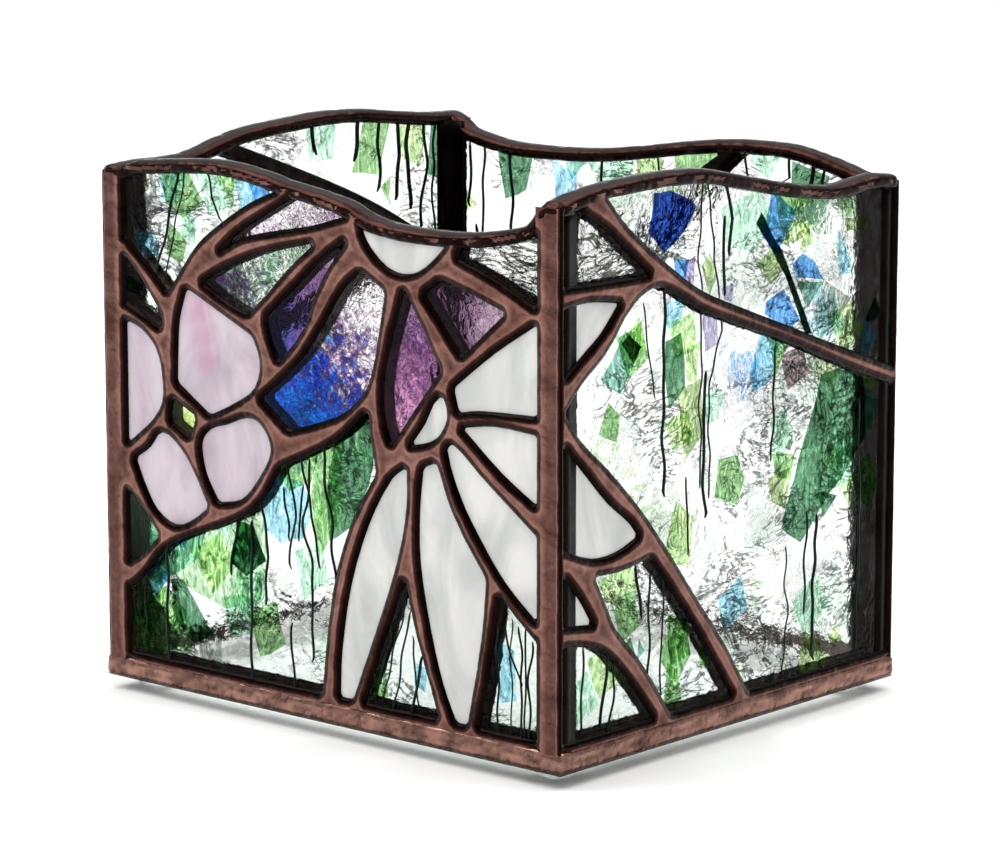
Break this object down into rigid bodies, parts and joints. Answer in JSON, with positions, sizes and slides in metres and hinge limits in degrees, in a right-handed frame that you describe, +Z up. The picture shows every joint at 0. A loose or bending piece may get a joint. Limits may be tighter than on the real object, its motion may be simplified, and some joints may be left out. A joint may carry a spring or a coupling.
{
  "type": "stained glass candle box",
  "caption": "open-topped rectangular stained glass candle box with wavy rims, copper-patina solder seams, flower panels, a foiled glass base and clear bumper feet",
  "frame": {"origin": "under the centre of the box, on the floor the feet stand on", "axes": "Z up, X along the front wall, the front wall with both flowers faces -Y, the right wall with the long solder line faces +X"},
  "size_m": [0.1028, 0.0884, 0.0955],
  "materials": {
    "streaky_glass": "clear glass with blue and green flakes and dark strings, rippled",
    "green_glass": "dark green streaky glass, rippled",
    "ripple_glass": "clear glass, deeply rippled",
    "violet_glass": "clear and violet streaky glass, rippled",
    "blue_glass": "cobalt, violet and clear streaky glass, rippled",
    "pink_glass": "opal glass with pink wisps, smooth",
    "white_glass": "white opal glass, smooth",
    "base_glass": "clear plate glass",
    "patina_solder": "solder bead with copper patina, satin, darker in the hollows",
    "copper_foil": "copper foil, satin",
    "foot_rubber": "clear soft bumper, glossy"
  },
  "bodies": {
    "root": {"front_clear_top": "streaky_glass", "front_clear_triangle": "streaky_glass", "front_pink_corner_petal": "pink_glass", "front_pink_large_petal": "pink_glass", "front_pink_flower_eye": "streaky_glass", "front_pink_lower_left_petal": "pink_glass", "front_pink_lower_right_petal": "pink_glass", "front_green_triangle": "green_glass", "front_violet_top_ray": "violet_glass", "front_dark_ray": "green_glass", "front_violet_ray": "violet_glass", "front_cobalt_ray": "blue_glass", "front_white_rim_petal": "white_glass", "front_violet_spear": "violet_glass", "front_violet_kite": "violet_glass", "front_clear_ripple": "ripple_glass", "front_white_corner_petal_a": "white_glass", "front_white_flower_eye": "white_glass", "front_white_corner_petal_b": "white_glass", "front_white_corner_petal_c": "white_glass", "front_white_broad_petal": "white_glass", "front_white_long_petal": "white_glass", "front_background": "streaky_glass", "front_clear_wedge": "streaky_glass", "front_clear_corner": "streaky_glass", "right_clear_ripple": "ripple_glass", "right_white_upper_petal": "white_glass", "right_white_middle_petal": "white_glass", "right_white_small_petal": "white_glass", "right_clear_corner": "streaky_glass", "right_upper_background": "streaky_glass", "right_stem_background": "streaky_glass", "right_background": "streaky_glass", "back_background": "streaky_glass", "back_upper_background": "streaky_glass", "left_upper_background": "streaky_glass", "left_clear_leaf": "streaky_glass", "left_background": "streaky_glass", "left_pink_corner_petal": "pink_glass", "left_clear_triangle": "streaky_glass", "base_glass": "base_glass", "front_foil": "copper_foil", "right_foil": "copper_foil", "back_foil": "copper_foil", "left_foil": "copper_foil", "base_foil": "copper_foil", "front_solder": "patina_solder", "right_solder": "patina_solder", "back_solder": "patina_solder", "left_solder": "patina_solder", "front_rim_bead": "patina_solder", "right_rim_bead": "patina_solder", "back_rim_bead": "patina_solder", "left_rim_bead": "patina_solder", "corner_front_left": "patina_solder", "corner_front_right": "patina_solder", "corner_back_right": "patina_solder", "corner_back_left": "patina_solder", "base_seam": "patina_solder", "feet": "foot_rubber"}
  },
  "joints": []
}
